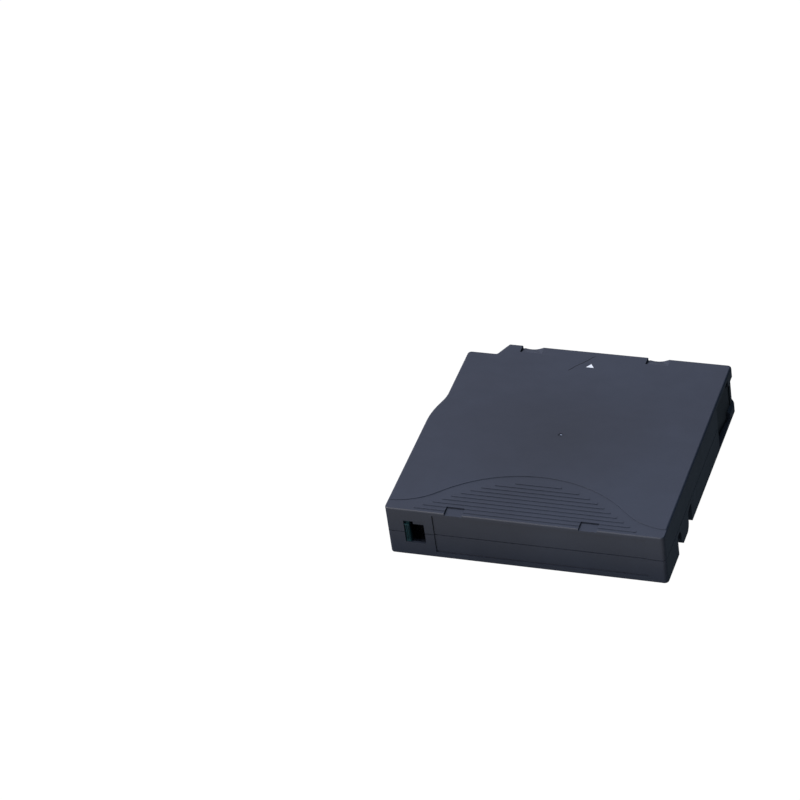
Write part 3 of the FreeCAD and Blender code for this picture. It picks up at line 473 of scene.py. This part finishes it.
coils = {
    "doorCoil": {"node": "door_spring", "joint": "door_slide", "along": 1, "heldEnd": 0},
    "brakeCoil": {"node": "brake_spring", "joint": "brake_lift", "along": 2, "heldEnd": 1},
}
for pieceName, coil in coils.items():
    # a copy of each compression spring, and the middle of the end it is held by
    piece = meshCopy(coil["node"], pieceName)
    evenNormals(piece)
    dress(piece, springFinish)
    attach(piece, "case")
    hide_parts(coil["node"])
    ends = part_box(coil["node"])
    along = coil["along"]
    anchor = [(ends[0][i] + ends[1][i]) / 2 for i in range(3)]
    anchor[along] = ends[coil["heldEnd"]][along]
    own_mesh(piece)
print("springs made")

for nodeName, finish in (
    ("reel_hub", reelFinish), ("upper_flange", reelFinish), ("hub_washer", steelFinish),
    ("tape_pack", tapeFinish), ("leader_tape", tapeFinish), ("leader_pin", steelFinish),
    ("leader_clip", brakeFinish), ("pin_spring", springFinish), ("brake_button", brakeFinish),
    ("clutch_spider", brakeFinish), ("case_screws", screwFinish), ("memory_chip", boardFinish),
):
    dress(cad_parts[nodeName], finish)
print("inner pieces dressed")


# floor, world, lamps and camera, lengths in metres; the tints are linear light, not paint

stageSettings = {
    "floorSize": 6.0, "white": "ffffff",
    "glow": 1.12, "cameraShare": 0.9,  # their product, just over one, is seen as white
    "bounce": (0.22, 0.22, 0.22, 1), "roughness": 0.9, "specular": 0.0,
    "sheenFront": (0.50, 0.49, 0.48, 1), "sheenBack": (0.068, 0.088, 0.110, 1),
    "sheenTurn": (-0.075, -0.055),  # y at which one passes into the other
}


def makeFloor(settings):
    # seen white, with a little of the case's shadow; the plastic's gloss sees it grey in front and dark behind
    bpy.ops.object.select_all(action="DESELECT")
    bpy.ops.mesh.primitive_plane_add(size=settings["floorSize"], location=(0, 0, 0))
    piece = bpy.context.object
    piece.name = "floor"
    material, shader = newMaterial("paleSeamlessFloor", {
        "Base Color": settings["bounce"], "Roughness": settings["roughness"],
        "Specular IOR Level": settings["specular"]})
    lightPath = addNode(material, "ShaderNodeLightPath")
    seen = addNode(material, "ShaderNodeMath", {"operation": "MAXIMUM"},
                   {0: lightPath.outputs["Is Camera Ray"], 1: lightPath.outputs["Is Transmission Ray"]})
    shown = addNode(material, "ShaderNodeMath", {"operation": "MAXIMUM"},
                    {0: seen.outputs["Value"], 1: lightPath.outputs["Is Glossy Ray"]})
    share = addNode(material, "ShaderNodeMath", {"operation": "MULTIPLY", 1: settings["cameraShare"]},
                    {0: shown.outputs["Value"]})
    place = addNode(material, "ShaderNodeTexCoord")
    parts = addNode(material, "ShaderNodeSeparateXYZ", None, {"Vector": place.outputs["Object"]})
    behind = addNode(material, "ShaderNodeMapRange", {"From Min": settings["sheenTurn"][0],
                     "From Max": settings["sheenTurn"][1]}, {"Value": parts.outputs["Y"]})
    sheen = addNode(material, "ShaderNodeValToRGB", None, {"Fac": behind.outputs["Result"]})
    paintRamp(sheen, ((0, settings["sheenFront"]), (1, settings["sheenBack"])))
    colour = addNode(material, "ShaderNodeMix",
                     {"data_type": "RGBA", colourMix["first"]: toLinear(settings["white"])},
                     {colourMix["share"]: lightPath.outputs["Is Glossy Ray"],
                      colourMix["second"]: sheen.outputs["Color"]})
    glow = addNode(material, "ShaderNodeEmission", {"Strength": settings["glow"]},
                   {"Color": colour.outputs[colourMix["result"]]})
    mix = addNode(material, "ShaderNodeMixShader", None,
                  {0: share.outputs["Value"], 1: shader.outputs["BSDF"], 2: glow.outputs["Emission"]})
    connect(material, mix.outputs["Shader"], material.node_tree.nodes["Material Output"].inputs["Surface"])
    dress(piece, material)
    return piece


floor = makeFloor(stageSettings)


worldSettings = {"bright": (0.70, 0.755, 1.0, 1), "dark": (0.010, 0.032, 0.052, 1), "white": "ffffff",
                 "flagFrom": (-0.2, 0.2),  # x of the direction looked in, where the flag begins and is full
                 "diffuseStrength": 1.15, "seenStrength": 1.0}


def makeWorld(settings):
    # a white studio, seen as such; a black flag on the right keeps that side of the case dark
    world = bpy.data.worlds.new("studio")
    bpy.context.scene.world = world
    world.use_nodes = True
    background = world.node_tree.nodes["Background"]
    place = addNode(world, "ShaderNodeTexCoord")
    parts = addNode(world, "ShaderNodeSeparateXYZ", None, {"Vector": place.outputs["Generated"]})
    flag = addNode(world, "ShaderNodeMapRange", {"From Min": settings["flagFrom"][0],
                   "From Max": settings["flagFrom"][1]}, {"Value": parts.outputs["X"]})
    tone = addNode(world, "ShaderNodeValToRGB", None, {"Fac": flag.outputs["Result"]})
    paintRamp(tone, ((0, settings["bright"]), (1, settings["dark"])))
    lightPath = addNode(world, "ShaderNodeLightPath")
    seen = addNode(world, "ShaderNodeMath", {"operation": "MAXIMUM"},
                   {0: lightPath.outputs["Is Camera Ray"], 1: lightPath.outputs["Is Transmission Ray"]})
    colour = addNode(world, "ShaderNodeMix",
                     {"data_type": "RGBA", colourMix["second"]: toLinear(settings["white"])},
                     {colourMix["share"]: seen.outputs["Value"], colourMix["first"]: tone.outputs["Color"]})
    connect(world, colour.outputs[colourMix["result"]], background.inputs["Color"])
    bare = addNode(world, "ShaderNodeMath", {"operation": "MAXIMUM"},
                   {0: seen.outputs["Value"], 1: lightPath.outputs["Is Glossy Ray"]})
    strength = addNode(world, "ShaderNodeMapRange", {"To Min": settings["diffuseStrength"],
                       "To Max": settings["seenStrength"]}, {"Value": bare.outputs["Value"]})
    connect(world, strength.outputs["Result"], background.inputs["Strength"])


makeWorld(worldSettings)

# a key from the left, a broad weak fill in front, and a small near lamp that lifts the near right of the top
lampTarget = (0, 0, 0.01)
lamps = [
    {"name": "keyLight", "place": (-1.25, -0.95, 0.85), "size": 1.0, "power": 20.0, "colour": "fff9f2"},
    {"name": "frontFill", "place": (-0.2, -1.4, 0.75), "size": 1.6, "power": 3.7, "colour": "fff2e4"},
    {"name": "nearLamp", "place": (0.085, -0.10, 0.28), "size": 0.15, "power": 0.28, "colour": "def0ff"},
]
for lamp in lamps:
    bpy.ops.object.light_add(type="AREA", location=lamp["place"])
    light = bpy.context.object
    light.name = lamp["name"]
    light.data.shape = "DISK"
    light.data.size = lamp["size"]
    light.data.energy = lamp["power"]
    light.data.color = toLinear(lamp["colour"])[:3]
    aim = Vector(lampTarget) - Vector(lamp["place"])
    light.rotation_euler = aim.to_track_quat("-Z", "Y").to_euler()

cameraSettings = {"place": (0.363587, -0.995709, 0.856864), "azimuth": 23.1302, "elevation": 37.3588,
                  "roll": -8.6569, "lens": 164.061, "sensor": 36.0}  # metres, degrees, mm


def makeCamera(settings):
    data = bpy.data.cameras.new("camera")
    data.lens = settings["lens"]
    data.sensor_width = settings["sensor"]
    camera = bpy.data.objects.new("camera", data)
    bpy.context.scene.collection.objects.link(camera)
    turn = Matrix.Rotation(math.radians(settings["azimuth"]), 4, "Z")
    tilt = Matrix.Rotation(math.radians(90 - settings["elevation"]), 4, "X")
    roll = Matrix.Rotation(math.radians(settings["roll"]), 4, "Z")
    camera.matrix_world = Matrix.Translation(settings["place"]) @ turn @ tilt @ roll
    bpy.context.scene.camera = camera


makeCamera(cameraSettings)
bpy.context.scene.view_settings.view_transform = "Standard"
print("stage made")
